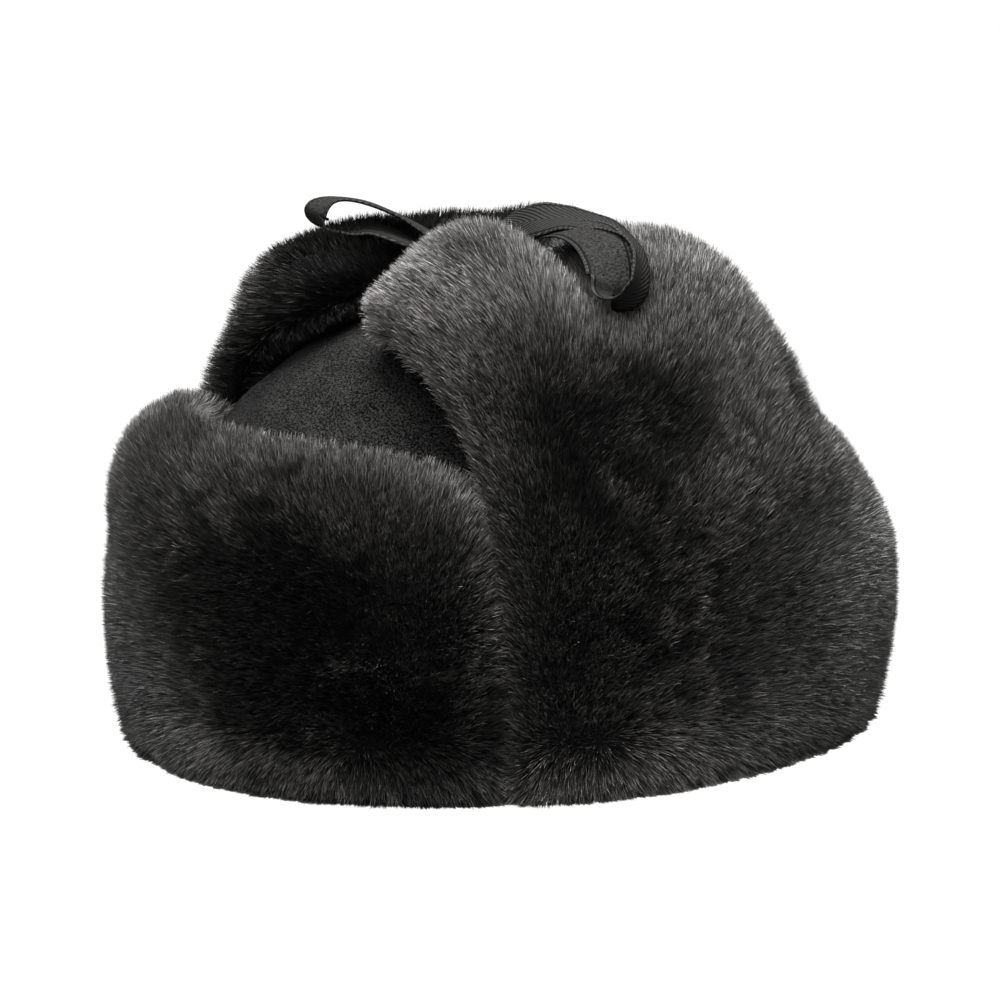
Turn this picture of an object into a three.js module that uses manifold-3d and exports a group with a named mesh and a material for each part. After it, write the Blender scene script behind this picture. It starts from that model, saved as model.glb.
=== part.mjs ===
import * as THREE from 'three';
import Module from 'manifold-3d';

// A fur cap with its front flap turned up and its ear flaps tied over the crown.
// Millimetres. The front is -Y, the wearer's left is +X and up is +Z.

// Head opening and crown
const openingHalfWidth = 82;
const openingHalfLength = 102;
const crownWall = 4;
const crownHeight = 143;
const wallHeight = 82;
const hemDrawIn = 0.035;
const crownAcross = openingHalfWidth + crownWall;
const crownAlong = openingHalfLength + crownWall;

// Clearances between neighbouring pieces
const pieceGap = 0.4;
const bandGap = 0.5;

// Fur locks: how far their tips stand out, and how far they reach past a free edge
const lockRise = 3;
const lockReach = 2.4;
const lockRows = 4;

// Front flap
const frontFlapHalfAngle = 57;
const frontFlapHeight = 108;
const frontFlapEndHeight = 96;
const frontFlapLean = 4;
const frontFlapCorner = 13;
const frontFlapThinner = 2.5;
const frontTopThickness = 7;
const frontRound = 31;
const frontEndRound = 12;

// Ear flaps, with the low neck stretch behind them
const neckHeight = 83;
const neckRound = 30;
const earEdgeRound = 16;
const earEdgeStart = 5;
const earTopThickness = 15;
const earRound = 18;
const seamSlant = 3;

// Lower edge of all the fur
const hemRound = 11;
const hemDepth = 8;

// Tie tapes
const tapeWidth = 16;
const tapeThickness = 1;

// Outer face of the fur: how far it stands out from the crown, as a share of furDepth, by
// height, which runs from 0 at the hem to 1 at the top of the wall and 2 at the crown's top
const furDepth = 31;
const furStand = [
  { height: 0, stand: 1 },
  { height: 0.37, stand: 1.03 },
  { height: 0.73, stand: 1 },
  { height: 1, stand: 0.81 },
  { height: 1.26, stand: 0.61 },
  { height: 1.62, stand: 0.74 },
  { height: 2, stand: 0.97 },
];

// Ear flap by angle from the front: where its line over the crown aims, as shares of the
// crown's half sizes, how much of that line it covers, and as shares of furDepth its gap to
// the crown on top and how much fuller its fur stands low, at the shoulder and on top
const earStations = [
  { around: 57.4, aimAcross: 0.15, aimAlong: -0.57, cover: 0.87, topGap: 0.35, low: 0, shoulder: 0, top: 0 },
  { around: 66, aimAcross: 0.14, aimAlong: -0.45, cover: 0.97, topGap: 0.29, low: 0, shoulder: 0, top: 0 },
  { around: 78, aimAcross: 0.14, aimAlong: -0.26, cover: 1, topGap: 0.23, low: 0, shoulder: 0, top: 0 },
  { around: 92, aimAcross: 0.14, aimAlong: 0, cover: 1, topGap: 0.19, low: 0, shoulder: 0, top: 0 },
  { around: 106, aimAcross: 0.14, aimAlong: 0.26, cover: 1, topGap: 0.19, low: 0, shoulder: -0.03, top: 0.08 },
  { around: 118, aimAcross: 0.16, aimAlong: 0.46, cover: 0.95, topGap: 0.19, low: 0.02, shoulder: 0, top: 0.17 },
  { around: 128, aimAcross: 0.2, aimAlong: 0.55, cover: 0.74, topGap: 0.19, low: 0.02, shoulder: -0.05, top: 0.16 },
  { around: 137, aimAcross: 0.3, aimAlong: 0.58, cover: 0.28, topGap: 0.19, low: 0.03, shoulder: -0.24, top: 0 },
  { around: 145, aimAcross: 0.35, aimAlong: 0.58, cover: 0.03, topGap: 0.16, low: 0.03, shoulder: -0.15, top: 0 },
  { around: 157, aimAcross: 0.2, aimAlong: 0.6, cover: 0, topGap: 0.13, low: 0.05, shoulder: 0, top: 0 },
  { around: 180, aimAcross: 0, aimAlong: 0.6, cover: 0, topGap: 0.13, low: 0.03, shoulder: 0, top: 0 },
];

// How the front edge of each ear flap differs, as shares of furDepth: fuller at the shoulder
// and on top, and more of its line covered. Then the fur along its top edge, pressed down by
// the bow or standing up beside it: place along the hat and half width as shares of the
// crown's half length, and depth as a share of furDepth, less than 0 for a rise
const flapSides = {
  left: {
    edgeFuller: 0.13,
    edgeTopFuller: 0,
    edgeCover: 0,
    pressed: [{ along: 0.01, half: 0.12, depth: 0.35 }, { along: -0.23, half: 0.12, depth: -0.23 }],
  },
  right: {
    edgeFuller: 0,
    edgeTopFuller: 0.32,
    edgeCover: 0.06,
    pressed: [
      { along: -0.39, half: 0.21, depth: 0.26 },
      { along: -0.08, half: 0.09, depth: 0.16 },
      { along: 0.13, half: 0.11, depth: 0.1 },
    ],
  },
};

// Bow: where its knot sits, and its direction across the hat
const knotAlong = -8;
const knotRise = 15;
const knotHalfWidth = 7;
const knotHalfHeight = 4.9;
const knotHalfLength = 5;
const bowAngle = 55;

// Tape centre lines seen along the bow: right of the knot, out from it and up from the crown's top,
// then which way the width points in the same directions, and the width there
const leftLoop = [
  { right: -3.4, out: 0, up: 14.4, wideRight: 0, wideOut: 1, wideUp: 0, width: 6.2 },
  { right: -8, out: 0, up: 14.8, wideRight: 0, wideOut: 1, wideUp: 0, width: 7 },
  { right: -16, out: 3, up: 19, wideRight: 0.1, wideOut: 1, wideUp: -0.1, width: 12 },
  { right: -26, out: 3, up: 25, wideRight: 0.05, wideOut: 1, wideUp: 0, width: tapeWidth },
  { right: -38, out: 2, up: 29.6, wideRight: 0, wideOut: 1, wideUp: 0, width: tapeWidth },
  { right: -47, out: 1, up: 30, wideRight: 0.2, wideOut: 1, wideUp: -0.1, width: tapeWidth },
  { right: -53, out: 1, up: 26, wideRight: 0.6, wideOut: 1, wideUp: -0.1, width: tapeWidth },
  { right: -50.6, out: 1, up: 21.6, wideRight: 0.4, wideOut: 1, wideUp: 0, width: tapeWidth },
  { right: -43, out: 2, up: 20.8, wideRight: 0.1, wideOut: 1, wideUp: 0, width: tapeWidth },
  { right: -34, out: 5, up: 21.6, wideRight: 0.1, wideOut: 1, wideUp: -0.15, width: tapeWidth },
  { right: -25, out: 9, up: 18.6, wideRight: 0.2, wideOut: 1, wideUp: -0.25, width: 12 },
  { right: -16, out: 6, up: 14.2, wideRight: 0, wideOut: 1, wideUp: -0.1, width: 8.5 },
  { right: -8, out: 0, up: 13, wideRight: 0, wideOut: 1, wideUp: 0, width: 6.4 },
  { right: 6.4, out: 0, up: 12.8, wideRight: 0, wideOut: 1, wideUp: 0, width: 6.4 },
  { right: 16, out: -7, up: 7.3, wideRight: 0.5, wideOut: 0.8, wideUp: 0, width: 9 },
  { right: 28, out: -17, up: 1.6, wideRight: 0.57, wideOut: 0.82, wideUp: 0, width: tapeWidth },
  { right: 40, out: -25, up: -1.7, wideRight: 0.57, wideOut: 0.82, wideUp: 0, width: tapeWidth },
];
const rightLoop = [
  { right: 1, out: 0, up: 19.3, wideRight: 0.1, wideOut: 0.9, wideUp: 0, width: 6 },
  { right: 7.5, out: 2.5, up: 21.6, wideRight: 0.29, wideOut: 0.93, wideUp: -0.24, width: 9 },
  { right: 14, out: 7, up: 23.8, wideRight: 0.4, wideOut: 0.82, wideUp: -0.4, width: 12 },
  { right: 21, out: 12, up: 25.4, wideRight: 0.25, wideOut: 0.9, wideUp: -0.36, width: tapeWidth },
  { right: 28, out: 15, up: 26.2, wideRight: 0.1, wideOut: 0.95, wideUp: -0.29, width: tapeWidth },
  { right: 36, out: 19, up: 25.2, wideRight: 0.12, wideOut: 0.96, wideUp: -0.2, width: tapeWidth },
  { right: 43, out: 26, up: 23.7, wideRight: 0, wideOut: 1, wideUp: 0, width: tapeWidth },
  { right: 48.5, out: 34, up: 20.8, wideRight: -0.12, wideOut: 0.98, wideUp: 0.14, width: tapeWidth },
  { right: 51, out: 42, up: 16.6, wideRight: -0.2, wideOut: 0.96, wideUp: 0.21, width: tapeWidth },
  { right: 50.6, out: 49, up: 12.2, wideRight: -0.34, wideOut: 0.91, wideUp: 0.24, width: tapeWidth },
  { right: 48, out: 54, up: 8.6, wideRight: -0.38, wideOut: 0.84, wideUp: 0.38, width: tapeWidth },
  { right: 43.4, out: 56.6, up: 7, wideRight: -0.35, wideOut: 0.82, wideUp: 0.42, width: tapeWidth },
  { right: 40.4, out: 56, up: 8.6, wideRight: -0.56, wideOut: 0.76, wideUp: 0.1, width: tapeWidth },
  { right: 40.6, out: 52.3, up: 12.8, wideRight: -0.74, wideOut: 0.6, wideUp: -0.25, width: tapeWidth },
  { right: 39.2, out: 45, up: 18.4, wideRight: -0.78, wideOut: 0.5, wideUp: -0.38, width: tapeWidth },
  { right: 35.6, out: 34, up: 22, wideRight: -0.72, wideOut: 0.6, wideUp: -0.36, width: tapeWidth },
  { right: 29, out: 21, up: 22.6, wideRight: -0.54, wideOut: 0.8, wideUp: -0.26, width: 13.5 },
  { right: 19, out: 10, up: 20.4, wideRight: -0.24, wideOut: 0.96, wideUp: -0.1, width: 10.5 },
  { right: 9, out: 3, up: 17.8, wideRight: 0, wideOut: 1, wideUp: 0, width: 7 },
  { right: 2, out: 0, up: 16.2, wideRight: 0, wideOut: 1, wideUp: 0, width: 6 },
];
const leftLead = [
  { right: -7, out: 0, up: 13, wideRight: 0, wideOut: 1, wideUp: 0, width: 6.4 },
  { right: -10, out: 1.5, up: 12.8, wideRight: 0.3, wideOut: 1, wideUp: 0, width: 7 },
  { right: -14, out: 8, up: 10.4, wideRight: 0.9, wideOut: 0.2, wideUp: 0, width: 9 },
  { right: -13.8, out: 19.5, up: 7.9, wideRight: 0.82, wideOut: -0.57, wideUp: 0, width: tapeWidth },
];
const rightLead = [
  { right: -1, out: -4.6, up: 11.6, wideRight: 1, wideOut: 0, wideUp: 0, width: 7 },
  { right: -1.6, out: -6.6, up: 9.6, wideRight: 0.9, wideOut: -0.3, wideUp: 0, width: 8 },
  { right: -2.8, out: -9, up: 8.2, wideRight: 0.82, wideOut: -0.57, wideUp: 0, width: 9 },
];
const rightTail = [
  { right: 2, out: -5.6, up: 14.6, wideRight: 0, wideOut: 0.3, wideUp: 1, width: 5 },
  { right: 9, out: -8.6, up: 14, wideRight: 0.4, wideOut: 0.9, wideUp: 0.3, width: 6 },
  { right: 20, out: -16, up: 9.6, wideRight: 0.57, wideOut: 0.82, wideUp: 0, width: 10 },
  { right: 31, out: -24, up: 5, wideRight: 0.57, wideOut: 0.82, wideUp: 0, width: tapeWidth },
];

const ease = (from, to, at) => THREE.MathUtils.smoothstep(at, from, to);
const mix = THREE.MathUtils.lerp;

// Smooth curve through the rows of a table, read at one value of its key column
function readTable(rows, key, at) {
  const last = rows.length - 1;
  let i = 0;
  while (i < last - 1 && at > rows[i + 1][key]) i += 1;
  const from = rows[i];
  const to = rows[i + 1];
  const before = rows[Math.max(i - 1, 0)];
  const after = rows[Math.min(i + 2, last)];
  const span = to[key] - from[key];
  const f = THREE.MathUtils.clamp((at - from[key]) / span, 0, 1);
  const read = {};
  for (const column of Object.keys(from)) {
    const leave = ((to[column] - before[column]) / (to[key] - before[key])) * span;
    const arrive = ((after[column] - from[column]) / (after[key] - from[key])) * span;
    const rise = to[column] - from[column];
    const bend = 3 * rise - 2 * leave - arrive;
    const twist = leave + arrive - 2 * rise;
    read[column] = from[column] + f * (leave + f * (bend + f * twist));
  }
  return read;
}

// Repeatable scatter between 0 and 1
function scatter(a, b) {
  const wave = Math.sin(a * 127.1 + b * 311.7) * 43758.5453;
  return wave - Math.floor(wave);
}

// Crown surface: share of its half sizes at a height of the wall, and height over the dome
const wallShare = (z) => 1 - hemDrawIn * (1 - Math.min(z / wallHeight, 1)) ** 2;
const domeHeight = (rho, top) => wallHeight + (top - wallHeight) * Math.max(1 - rho * rho, 0) ** (2 / 3);

function wallPoint(angle, z) {
  const share = wallShare(z);
  return new THREE.Vector3(crownAcross * share * Math.sin(angle), -crownAlong * share * Math.cos(angle), z);
}

function crownNormal(p) {
  const x = p.x / crownAcross;
  const y = p.y / crownAlong;
  const rho = Math.hypot(x, y);
  const flat = new THREE.Vector3(x / crownAcross, y / crownAlong, 0);
  if (p.z <= wallHeight + 1e-6 || rho > 0.9999) return flat.normalize();
  const slope = (crownHeight - wallHeight) * (4 / 3) * Math.max(1 - rho * rho, 1e-6) ** (-1 / 3);
  return flat.multiplyScalar(slope).setZ(1).normalize();
}

// A closed mesh from points and triangles
function solid(name, points, faces, finish) {
  const geometry = new THREE.BufferGeometry();
  geometry.setAttribute('position', new THREE.Float32BufferAttribute(points.flatMap((p) => [p.x, p.y, p.z]), 3));
  geometry.setIndex(faces.flat());
  geometry.computeVertexNormals();
  const mesh = new THREE.Mesh(geometry, new THREE.MeshStandardMaterial(finish));
  mesh.name = name;
  return mesh;
}

// Crown: a hollow wool shell, open below
function crownShell() {
  const columns = 40;
  const wallRows = 4;
  const domeRows = 7;
  const rows = wallRows + domeRows;
  const points = [];
  const faces = [];
  const skin = (inward) => {
    const start = points.length;
    for (let j = 0; j < rows; j += 1) {
      const climb = (j - wallRows) / domeRows;
      const z = (wallHeight * j) / wallRows;
      const rho = j > wallRows ? Math.cos((climb * Math.PI) / 2) : wallShare(z);
      const height = j > wallRows ? domeHeight(rho, crownHeight - inward) : z;
      for (let c = 0; c < columns; c += 1) {
        const angle = (2 * Math.PI * c) / columns;
        const x = (crownAcross - inward) * rho * Math.sin(angle);
        const y = -(crownAlong - inward) * rho * Math.cos(angle);
        points.push(new THREE.Vector3(x, y, height));
      }
    }
    points.push(new THREE.Vector3(0, 0, crownHeight - inward));
    return start;
  };
  const outer = skin(0);
  const inner = skin(crownWall);
  for (let c = 0; c < columns; c += 1) {
    const next = (c + 1) % columns;
    for (let j = 0; j < rows - 1; j += 1) {
      const a = j * columns + c;
      const b = j * columns + next;
      faces.push([outer + a, outer + b, outer + b + columns], [outer + a, outer + b + columns, outer + a + columns]);
      faces.push([inner + a, inner + b + columns, inner + b], [inner + a, inner + a + columns, inner + b + columns]);
    }
    const rim = (rows - 1) * columns;
    faces.push([outer + rim + c, outer + rim + next, outer + rows * columns]);
    faces.push([inner + rim + c, inner + rows * columns, inner + rim + next]);
    faces.push([outer + c, inner + c, inner + next], [outer + c, inner + next, outer + next]);
  }
  return solid('crown', points, faces, { color: 0x17171a, roughness: 0.95, metalness: 0 });
}

// Outer rows stand out in staggered locks whose tips point down, inner rows are the plain cloth side
function furPanel(name, columns, outerRows, sectionAt, mirror, finish) {
  const innerRows = outerRows / 2;
  const perColumn = outerRows + innerRows + 2;
  const points = [];
  const faces = [];
  for (let c = 0; c <= columns; c += 1) {
    const lock = Math.floor(c / 2);
    const ridge = c % 2;
    const section = sectionAt(c / columns, ridge);
    for (let j = 0; j <= outerRows; j += 1) {
      const phase = (j + (lock % 2) * 2) % lockRows;
      const full = ridge ? (1 - (0.85 * phase) / (lockRows - 1)) * (0.75 + 0.25 * scatter(lock, j)) : 0.1;
      points.push(section.outer(j / outerRows, full * lockRise));
    }
    for (let j = 0; j <= innerRows; j += 1) points.push(section.inner(j / innerRows));
  }
  if (mirror) points.forEach((p) => p.setX(-p.x));
  const add = (a, b, c) => faces.push(mirror ? [a, c, b] : [a, b, c]);
  const outer = (c, j) => c * perColumn + j;
  const inner = (c, j) => c * perColumn + outerRows + 1 + j;
  for (let c = 0; c < columns; c += 1) {
    for (let j = 0; j < outerRows; j += 1) {
      add(outer(c, j), outer(c + 1, j), outer(c + 1, j + 1));
      add(outer(c, j), outer(c + 1, j + 1), outer(c, j + 1));
    }
    for (let j = 0; j < innerRows; j += 1) {
      add(inner(c, j), inner(c + 1, j + 1), inner(c + 1, j));
      add(inner(c, j), inner(c, j + 1), inner(c + 1, j + 1));
    }
    add(inner(c, 0), inner(c + 1, 0), outer(c + 1, 0));
    add(inner(c, 0), outer(c + 1, 0), outer(c, 0));
    add(outer(c, outerRows), outer(c + 1, outerRows), inner(c + 1, innerRows));
    add(outer(c, outerRows), inner(c + 1, innerRows), inner(c, innerRows));
  }
  for (let j = 0; j < innerRows; j += 1) {
    for (const [c, flip] of [[0, false], [columns, true]]) {
      const near = [inner(c, j), inner(c, j + 1)];
      const far = [outer(c, 2 * j), outer(c, 2 * j + 1), outer(c, 2 * j + 2)];
      const cap = [[near[0], far[0], far[1]], [near[0], far[1], near[1]], [near[1], far[1], far[2]]];
      cap.forEach(([a, b, d]) => (flip ? add(a, d, b) : add(a, b, d)));
    }
  }
  return solid(name, points, faces, finish);
}

// Quarter round over a stretch that ends at a free edge
const roundOff = (left, stretch) => Math.sqrt(Math.max(1 - Math.max(1 - left / stretch, 0) ** 2, 0));

// How far the fur stands out at a height
function standAt(z) {
  const above = (z - wallHeight) / (crownHeight - wallHeight);
  const height = z < wallHeight ? z / wallHeight : 1 + above;
  return furDepth * readTable(furStand, 'height', height).stand;
}

// Front flap standing up around the brow
function frontSection(share, ridge) {
  const degrees = mix(-frontFlapHalfAngle, frontFlapHalfAngle, share);
  const off = Math.abs(degrees) / frontFlapHalfAngle;
  const bow = mix(frontFlapEndHeight, frontFlapHeight, 1 - off ** 4);
  const toEnd = (1 - off) * frontFlapHalfAngle * (Math.PI / 180) * crownAlong;
  const top = bow - frontFlapCorner * (1 - roundOff(toEnd, frontFlapCorner)) + (ridge ? lockReach : -1);
  const place = (z, out) => {
    const slant = seamSlant * Math.max(1 - z / wallHeight, 0) * (degrees / frontFlapHalfAngle);
    const p = wallPoint(THREE.MathUtils.degToRad(degrees + slant), Math.min(z, wallHeight));
    const normal = crownNormal(new THREE.Vector3(p.x, p.y, 0));
    return p.addScaledVector(normal, out).setZ(z);
  };
  const cloth = (z) => bandGap + (frontFlapLean * z) / frontFlapHeight;
  return {
    inner: (v) => place(v * top, cloth(v * top)),
    outer: (v, lift) => {
      const z = v * top;
      const full = standAt(Math.min(z, 0.73 * wallHeight)) - frontFlapThinner;
      const thin = cloth(z) + frontTopThickness;
      const hem = hemDepth * (1 - roundOff(z, hemRound));
      const side = mix(0.82, 1, roundOff(toEnd, frontEndRound));
      const out = (thin + (full - thin) * roundOff(top - z, frontRound) + lift) * side - hem;
      return place(z, out);
    },
  };
}

// Ear flap folded up over the crown, and the low neck stretch behind it
function earSection(share, ridge, side) {
  const row = readTable(earStations, 'around', mix(earStations[0].around, 180, share));
  const angle = THREE.MathUtils.degToRad(row.around);
  const line = [];
  const wallSteps = 20;
  const domeSteps = 60;
  for (let i = 0; i <= wallSteps; i += 1) {
    const slant = THREE.MathUtils.degToRad(seamSlant * (1 - i / wallSteps) * (1 - share) ** 4);
    line.push(wallPoint(angle + slant, (wallHeight * i) / wallSteps));
  }
  for (let i = 1; i <= domeSteps; i += 1) {
    const w = (i / domeSteps) ** 2;
    const x = mix(Math.sin(angle), row.aimAcross, w);
    const y = mix(-Math.cos(angle), row.aimAlong, w);
    line.push(new THREE.Vector3(x * crownAcross, y * crownAlong, domeHeight(Math.hypot(x, y), crownHeight)));
  }
  const run = [0];
  for (let i = 1; i < line.length; i += 1) run.push(run[i - 1] + line[i].distanceTo(line[i - 1]));
  const atEdge = 1 - ease(0, 0.28, share);
  const cover = THREE.MathUtils.clamp(row.cover + side.edgeCover * atEdge, 0, 1);
  const length = mix(neckHeight, run[run.length - 1], cover) + (ridge ? lockReach : -1);
  const onLine = (s) => {
    let i = 1;
    while (i < run.length - 1 && run[i] < s) i += 1;
    return line[i - 1].clone().lerp(line[i], (s - run[i - 1]) / (run[i] - run[i - 1]));
  };
  const fromFront = share * (180 - earStations[0].around) * (Math.PI / 180) * crownAlong;
  const cloth = (p) => mix(bandGap, furDepth * row.topGap, ease(0.25 * wallHeight, 1.3 * wallHeight, p.z));
  const place = (p, out) => {
    const placed = p.clone().addScaledVector(crownNormal(p), out);
    placed.x = Math.max(placed.x, 0) + pieceGap / 2;
    return placed;
  };
  return {
    inner: (v) => {
      const p = onLine(v * length);
      return place(p, cloth(p));
    },
    outer: (v, lift) => {
      const s = v * length;
      const p = onLine(s);
      const rise = ease(0.88 * wallHeight, 1.3 * wallHeight, p.z);
      const shoulder = rise * (row.shoulder + side.edgeFuller * atEdge);
      const topRise = ease(1.37 * wallHeight, 0.94 * crownHeight, p.z);
      const high = furDepth * topRise * (row.top + side.edgeTopFuller * atEdge);
      const low = (1 - rise) * row.low;
      const full = standAt(p.z) + furDepth * (low + shoulder) + high;
      const thin = cloth(p) + mix(frontTopThickness, earTopThickness, cover) + high;
      const round = mix(neckRound, earRound, cover);
      const edge = mix(1, roundOff(fromFront + earEdgeStart, earEdgeRound), ease(0.88 * wallHeight, 1.22 * wallHeight, p.z));
      const hem = hemDepth * (1 - roundOff(s, hemRound));
      const out = thin + (full - thin) * roundOff(length - s, round) * edge + lift - hem;
      const near = (d) => Math.exp(-(((p.y / crownAlong - d.along) / d.half) ** 2));
      const dent = side.pressed.reduce((sum, d) => sum + d.depth * near(d), 0);
      const placed = place(p, out - furDepth * dent * ease(1.37 * wallHeight, 0.97 * crownHeight, p.z));
      if (v === 0) placed.z = 0;
      return placed;
    },
  };
}

// Bow directions turned into the hat's own
const bowTurn = THREE.MathUtils.degToRad(bowAngle);
const bowRight = new THREE.Vector3(Math.cos(bowTurn), Math.sin(bowTurn), 0);
const bowOut = new THREE.Vector3(Math.sin(bowTurn), -Math.cos(bowTurn), 0);
const bowPlace = (right, out, up) =>
  new THREE.Vector3(0, knotAlong, crownHeight + up).addScaledVector(bowRight, right).addScaledVector(bowOut, out);

// A flat tape swept through the rows of a table
function ribbon(name, rows, finish) {
  const steps = (rows.length - 1) * 4;
  const numbered = rows.map((row, i) => ({ ...row, step: i }));
  const read = (i) => readTable(numbered, 'step', (i / steps) * (rows.length - 1));
  const centre = (i) => {
    const row = read(THREE.MathUtils.clamp(i, 0, steps));
    return bowPlace(row.right, row.out, row.up);
  };
  const points = [];
  const faces = [];
  for (let i = 0; i <= steps; i += 1) {
    const row = read(i);
    const along = centre(i + 0.5).sub(centre(i - 0.5)).normalize();
    const wide = bowRight.clone().multiplyScalar(row.wideRight).addScaledVector(bowOut, row.wideOut);
    wide.z = row.wideUp;
    wide.addScaledVector(along, -wide.dot(along)).normalize();
    const flat = along.clone().cross(wide);
    for (const [w, t] of [[-1, -1], [1, -1], [1, 1], [-1, 1]]) {
      const corner = centre(i).addScaledVector(wide, (w * row.width) / 2);
      points.push(corner.addScaledVector(flat, (t * tapeThickness) / 2));
    }
  }
  for (let i = 0; i < steps; i += 1) {
    for (let k = 0; k < 4; k += 1) {
      const a = i * 4 + k;
      const b = i * 4 + ((k + 1) % 4);
      faces.push([a, b, b + 4], [a, b + 4, a + 4]);
    }
  }
  const end = steps * 4;
  faces.push([0, 2, 1], [0, 3, 2], [end, end + 1, end + 2], [end, end + 2, end + 3]);
  return solid(name, points, faces, finish);
}

// The turn of tape that binds the knot
function knotWrap() {
  const around = 16;
  const points = [];
  const faces = [];
  for (let i = 0; i < around; i += 1) {
    const turn = (2 * Math.PI * i) / around;
    for (const [side, inward] of [[-1, 0], [1, 0], [1, tapeThickness], [-1, tapeThickness]]) {
      const out = (knotHalfWidth - inward) * Math.cos(turn);
      const up = knotRise + (knotHalfHeight - inward) * Math.sin(turn);
      points.push(bowPlace(side * knotHalfLength, out, up));
    }
  }
  for (let i = 0; i < around; i += 1) {
    for (let k = 0; k < 4; k += 1) {
      const a = i * 4 + k;
      const b = i * 4 + ((k + 1) % 4);
      const c = ((i + 1) % around) * 4 + k;
      const d = ((i + 1) % around) * 4 + ((k + 1) % 4);
      faces.push([a, b, d], [a, d, c]);
    }
  }
  return solid('wrap', points, faces, tape);
}

// Several meshes joined into one solid
const manifold = await Module();
manifold.setup();
function joined(name, meshes, finish) {
  const bodies = meshes.map((mesh) => new manifold.Manifold(new manifold.Mesh({
    numProp: 3,
    vertProperties: mesh.geometry.attributes.position.array,
    triVerts: Uint32Array.from(mesh.geometry.index.array),
  })));
  const whole = manifold.Manifold.union(bodies).getMesh();
  const points = [];
  const faces = [];
  for (let i = 0; i < whole.numVert; i += 1) {
    points.push(new THREE.Vector3().fromArray(whole.vertProperties, i * whole.numProp));
  }
  for (let i = 0; i < whole.numTri; i += 1) faces.push(Array.from(whole.triVerts.slice(i * 3, i * 3 + 3)));
  return solid(name, points, faces, finish);
}

const fur = { color: 0x0d0c0c, roughness: 0.85, metalness: 0 };
const tape = { color: 0x141416, roughness: 0.8, metalness: 0 };

const group = new THREE.Group();
group.add(crownShell());
group.add(furPanel('front_flap', 42, 16, frontSection, false, fur));
const leftSection = (share, ridge) => earSection(share, ridge, flapSides.left);
const rightSection = (share, ridge) => earSection(share, ridge, flapSides.right);
group.add(furPanel('ear_flap_left', 44, 20, leftSection, false, fur));
group.add(furPanel('ear_flap_right', 44, 20, rightSection, true, fur));
const leftTape = [leftLoop, leftLead].map((rows) => ribbon('strip', rows, tape));
const rightTape = [rightLoop, rightLead, rightTail].map((rows) => ribbon('strip', rows, tape));
group.add(joined('tie_tape_left', leftTape, tape));
group.add(joined('tie_tape_right', [knotWrap(), ...rightTape], tape));

// The frame's origin is under the middle of the whole cap's box
const middle = new THREE.Box3().setFromObject(group).getCenter(new THREE.Vector3());
group.position.set(-middle.x, -middle.y, 0);

export default group;
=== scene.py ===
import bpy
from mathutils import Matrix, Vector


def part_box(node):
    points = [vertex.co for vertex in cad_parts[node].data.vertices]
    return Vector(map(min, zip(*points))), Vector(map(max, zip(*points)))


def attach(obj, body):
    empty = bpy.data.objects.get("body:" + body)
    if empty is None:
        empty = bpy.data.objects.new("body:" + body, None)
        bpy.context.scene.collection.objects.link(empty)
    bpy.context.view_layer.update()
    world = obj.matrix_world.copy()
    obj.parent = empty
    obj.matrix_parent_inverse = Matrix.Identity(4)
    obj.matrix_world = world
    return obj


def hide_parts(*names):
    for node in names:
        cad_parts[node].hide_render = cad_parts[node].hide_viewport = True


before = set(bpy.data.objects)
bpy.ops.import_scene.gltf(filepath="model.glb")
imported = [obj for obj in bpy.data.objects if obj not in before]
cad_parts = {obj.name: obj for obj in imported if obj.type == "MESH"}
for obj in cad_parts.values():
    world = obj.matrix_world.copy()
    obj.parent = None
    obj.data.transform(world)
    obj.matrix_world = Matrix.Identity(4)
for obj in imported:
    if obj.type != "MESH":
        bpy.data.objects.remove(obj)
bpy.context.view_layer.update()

import math
import bpy
import numpy as np
from mathutils import Vector

# Lengths are in millimetres until a mesh is made. The front is -Y, the wearer's left is +X.
mm = 0.001
lowCrown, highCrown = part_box("crown")
hatShift = np.array([0.0, (lowCrown.y + highCrown.y) / 2 / mm, 0.0])

hat = {
    "openingHalfWidth": 82, "openingHalfLength": 102, "crownWall": 4, "crownHeight": 143, "wallHeight": 82,
    "hemDrawIn": 0.035, "pieceGap": 0.4, "bandGap": 0.5, "hemRound": 11, "hemDepth": 8,
}
crownAcross = hat["openingHalfWidth"] + hat["crownWall"]
crownAlong = hat["openingHalfLength"] + hat["crownWall"]
wallHeight, crownHeight = hat["wallHeight"], hat["crownHeight"]

# How far the fur stands out, as a share of its depth, by height: 0 at the hem, 1 at the top of
# the wall, 2 at the crown's top
furDepth = 31
furStand = {
    "height": [0, 0.37, 0.73, 1, 1.26, 1.62, 2],
    "stand": [1, 1.03, 1, 0.81, 0.61, 0.74, 0.97],
}


def ease(low, high, at):
    f = np.clip((at - low) / (high - low), 0, 1)
    return f * f * (3 - 2 * f)


def mix(a, b, f):
    return a + (b - a) * f


def smoothRead(table, key, column, at):
    k, v = np.array(table[key], float), np.array(table[column], float)
    last = len(k) - 1
    i = np.clip(np.searchsorted(k[1:last], at, side="left"), 0, last - 1)
    before, to, after = np.maximum(i - 1, 0), i + 1, np.minimum(i + 2, last)
    span = k[to] - k[i]
    f = np.clip((at - k[i]) / span, 0, 1)
    leave = (v[to] - v[before]) / (k[to] - k[before]) * span
    arrive = (v[after] - v[i]) / (k[after] - k[i]) * span
    rise = v[to] - v[i]
    return v[i] + f * (leave + f * (3 * rise - 2 * leave - arrive + f * (leave + arrive - 2 * rise)))


def unit(v):
    return v / np.maximum(np.linalg.norm(v, axis=-1, keepdims=True), 1e-9)


def wallShare(z):
    return 1 - hat["hemDrawIn"] * (1 - np.minimum(z / wallHeight, 1)) ** 2


def domeHeight(rho, top):
    return wallHeight + (top - wallHeight) * np.maximum(1 - rho * rho, 0) ** (2 / 3)


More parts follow.
